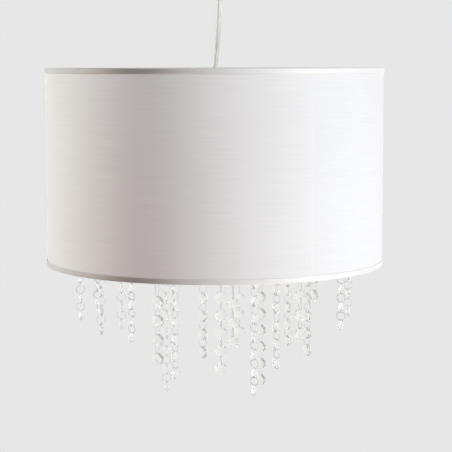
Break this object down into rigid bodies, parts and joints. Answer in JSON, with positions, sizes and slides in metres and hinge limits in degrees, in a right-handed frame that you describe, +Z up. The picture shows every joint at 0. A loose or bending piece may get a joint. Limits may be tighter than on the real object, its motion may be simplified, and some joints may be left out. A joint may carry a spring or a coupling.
{
  "type": "pendant light with a drum shade and crystal strands",
  "caption": "Pendant light: a fabric drum shade on a clear cord from a ceiling rose, with crystal and ring strands hanging from wire circles at its lower edge.",
  "frame": {"origin": "centre of the ceiling bracket's top face, which lies on the ceiling", "axes": "+Z up out of the ceiling face, -Y towards the viewer of the front, +X to the viewer's right"},
  "size_m": [0.4, 0.4, 0.5849],
  "materials": {
    "zinc_steel": "zinc-plated steel",
    "white_enamel": "satin white enamel",
    "white_wire": "white-coated wire",
    "white_plastic": "white moulded plastic",
    "lead_sheath": "insulated lead",
    "clear_sheath": "clear plastic sheath over twisted leads",
    "ceramic": "unglazed ceramic",
    "brass": "bright brass",
    "opal_glass": "opal white glass",
    "slub_fabric": "white slub weave",
    "shade_liner": "white laminated liner",
    "crystal": "clear cut crystal on thin dark wire links"
  },
  "bodies": {
    "mount_base": {"ceiling_bracket": "zinc_steel", "rose_cup": "white_enamel", "rose_screw_left": "zinc_steel", "rose_screw_right": "zinc_steel", "terminal_block": "white_plastic", "rose_lead_left": "lead_sheath", "rose_lead_right": "lead_sheath", "rose_cord_grip": "white_plastic", "rose_locknut": "zinc_steel"},
    "cord_body": {"cord": "clear_sheath"},
    "lampholder": {"holder_cord_grip": "white_plastic", "holder_locknut": "zinc_steel", "holder_cap": "white_plastic", "holder_skirt": "white_plastic", "holder_lead_left": "lead_sheath", "holder_lead_right": "lead_sheath", "socket_base": "ceramic", "socket_shell": "brass", "socket_contact": "brass"},
    "clamp_ring_body": {"clamp_ring": "white_plastic"},
    "bulb": {"bulb_cap": "zinc_steel", "bulb_glass": "opal_glass"},
    "shade": {"shade_spider": "white_wire", "shade_cover": "slub_fabric", "shade_liner": "shade_liner", "shade_hem_top": "slub_fabric", "shade_hem_bottom": "slub_fabric", "shade_ring_top": "white_wire", "strand_frame": "white_wire", "strand_circle_outer": "white_wire", "strand_circle_middle": "white_wire", "strand_circle_inner": "white_wire", "strand_spoke_1": "white_wire", "strand_spoke_2": "white_wire", "strand_spoke_3": "white_wire"},
    "strand_outer_1_body": {"strand_outer_1": "crystal"},
    "strand_outer_2_body": {"strand_outer_2": "crystal"},
    "strand_outer_3_body": {"strand_outer_3": "crystal"},
    "strand_outer_4_body": {"strand_outer_4": "crystal"},
    "strand_outer_5_body": {"strand_outer_5": "crystal"},
    "strand_outer_6_body": {"strand_outer_6": "crystal"},
    "strand_outer_7_body": {"strand_outer_7": "crystal"},
    "strand_outer_8_body": {"strand_outer_8": "crystal"},
    "strand_outer_9_body": {"strand_outer_9": "crystal"},
    "strand_outer_10_body": {"strand_outer_10": "crystal"},
    "strand_middle_1_body": {"strand_middle_1": "crystal"},
    "strand_middle_2_body": {"strand_middle_2": "crystal"},
    "strand_middle_3_body": {"strand_middle_3": "crystal"},
    "strand_middle_4_body": {"strand_middle_4": "crystal"},
    "strand_middle_5_body": {"strand_middle_5": "crystal"},
    "strand_middle_6_body": {"strand_middle_6": "crystal"},
    "strand_inner_1_body": {"strand_inner_1": "crystal"},
    "strand_inner_2_body": {"strand_inner_2": "crystal"},
    "strand_inner_3_body": {"strand_inner_3": "crystal"},
    "strand_inner_4_body": {"strand_inner_4": "crystal"},
    "strand_inner_5_body": {"strand_inner_5": "crystal"}
  },
  "joints": [
    {"name": "cord_swing", "type": "hinge", "parent": "mount_base", "child": "cord_body", "pos_m": [0, 0, -0.0526], "axis": [0, 1, 0], "range_deg": [-25, 25]},
    {"name": "shade_tilt", "type": "hinge", "parent": "cord_body", "child": "lampholder", "pos_m": [0, 0, -0.1948], "axis": [1, 0, 0], "range_deg": [-20, 20]},
    {"name": "clamp_ring_turn", "type": "hinge", "parent": "lampholder", "child": "clamp_ring_body", "pos_m": [0, 0, -0.2322], "axis": [0, 0, 1], "continuous": true},
    {"name": "bulb_turn", "type": "hinge", "parent": "lampholder", "child": "bulb", "pos_m": [0, 0, -0.2654], "axis": [0, 0, 1], "continuous": true},
    {"name": "shade_turn", "type": "hinge", "parent": "lampholder", "child": "shade", "pos_m": [0, 0, -0.2307], "axis": [0, 0, 1], "continuous": true},
    {"name": "strand_outer_1_swing", "type": "hinge", "parent": "shade", "child": "strand_outer_1_body", "pos_m": [-0.10672, 0.12584, -0.4119], "axis": [-0.7627, -0.6468, 0], "range_deg": [-15, 15]},
    {"name": "strand_outer_2_swing", "type": "hinge", "parent": "shade", "child": "strand_outer_2_body", "pos_m": [-0.14662, 0.07568, -0.4119], "axis": [-0.4586, -0.8886, 0], "range_deg": [-15, 15]},
    {"name": "strand_outer_3_swing", "type": "hinge", "parent": "shade", "child": "strand_outer_3_body", "pos_m": [-0.16335, 0.02325, -0.4119], "axis": [-0.1409, -0.99, 0], "range_deg": [-15, 15]},
    {"name": "strand_outer_4_swing", "type": "hinge", "parent": "shade", "child": "strand_outer_4_body", "pos_m": [-0.12877, -0.10317, -0.4119], "axis": [0.6252, -0.7804, 0], "range_deg": [-15, 15]},
    {"name": "strand_outer_5_swing", "type": "hinge", "parent": "shade", "child": "strand_outer_5_body", "pos_m": [-0.06341, -0.15233, -0.4119], "axis": [0.9232, -0.3843, 0], "range_deg": [-15, 15]},
    {"name": "strand_outer_6_swing", "type": "hinge", "parent": "shade", "child": "strand_outer_6_body", "pos_m": [0.01982, -0.16381, -0.4119], "axis": [0.9928, 0.1201, 0], "range_deg": [-15, 15]},
    {"name": "strand_outer_7_swing", "type": "hinge", "parent": "shade", "child": "strand_outer_7_body", "pos_m": [0.09488, -0.13499, -0.4119], "axis": [0.8181, 0.575, 0], "range_deg": [-15, 15]},
    {"name": "strand_outer_8_swing", "type": "hinge", "parent": "shade", "child": "strand_outer_8_body", "pos_m": [0.14514, -0.07848, -0.4119], "axis": [0.4756, 0.8796, 0], "range_deg": [-15, 15]},
    {"name": "strand_outer_9_swing", "type": "hinge", "parent": "shade", "child": "strand_outer_9_body", "pos_m": [0.16249, 0.02865, -0.4119], "axis": [-0.1736, 0.9848, 0], "range_deg": [-15, 15]},
    {"name": "strand_outer_10_swing", "type": "hinge", "parent": "shade", "child": "strand_outer_10_body", "pos_m": [0.12547, 0.10716, -0.4119], "axis": [-0.6494, 0.7604, 0], "range_deg": [-15, 15]},
    {"name": "strand_middle_1_swing", "type": "hinge", "parent": "shade", "child": "strand_middle_1_body", "pos_m": [-0.11038, -0.03228, -0.4119], "axis": [0.2807, -0.9598, 0], "range_deg": [-10, 10]},
    {"name": "strand_middle_2_swing", "type": "hinge", "parent": "shade", "child": "strand_middle_2_body", "pos_m": [0.07064, -0.09074, -0.4119], "axis": [0.7891, 0.6143, 0], "range_deg": [-10, 10]},
    {"name": "strand_middle_3_swing", "type": "hinge", "parent": "shade", "child": "strand_middle_3_body", "pos_m": [0.11261, 0.02332, -0.4119], "axis": [-0.2028, 0.9792, 0], "range_deg": [-10, 10]},
    {"name": "strand_middle_4_swing", "type": "hinge", "parent": "shade", "child": "strand_middle_4_body", "pos_m": [0.09136, 0.06985, -0.4119], "axis": [-0.6074, 0.7944, 0], "range_deg": [-10, 10]},
    {"name": "strand_middle_5_swing", "type": "hinge", "parent": "shade", "child": "strand_middle_5_body", "pos_m": [0.05802, 0.09929, -0.4119], "axis": [-0.8634, 0.5045, 0], "range_deg": [-10, 10]},
    {"name": "strand_middle_6_swing", "type": "hinge", "parent": "shade", "child": "strand_middle_6_body", "pos_m": [0.03151, 0.1106, -0.4119], "axis": [-0.9617, 0.274, 0], "range_deg": [-10, 10]},
    {"name": "strand_inner_1_swing", "type": "hinge", "parent": "shade", "child": "strand_inner_1_body", "pos_m": [-0.04906, 0.04264, -0.4119], "axis": [-0.6561, -0.7547, 0], "range_deg": [-10, 10]},
    {"name": "strand_inner_2_swing", "type": "hinge", "parent": "shade", "child": "strand_inner_2_body", "pos_m": [-0.05718, -0.03092, -0.4119], "axis": [0.4756, -0.8796, 0], "range_deg": [-10, 10]},
    {"name": "strand_inner_3_swing", "type": "hinge", "parent": "shade", "child": "strand_inner_3_body", "pos_m": [-0.01374, -0.06353, -0.4119], "axis": [0.9774, -0.2113, 0], "range_deg": [-10, 10]},
    {"name": "strand_inner_4_swing", "type": "hinge", "parent": "shade", "child": "strand_inner_4_body", "pos_m": [0.00725, -0.06459, -0.4119], "axis": [0.9938, 0.1115, 0], "range_deg": [-10, 10]},
    {"name": "strand_inner_5_swing", "type": "hinge", "parent": "shade", "child": "strand_inner_5_body", "pos_m": [0.04636, -0.04556, -0.4119], "axis": [0.7009, 0.7133, 0], "range_deg": [-10, 10]}
  ]
}
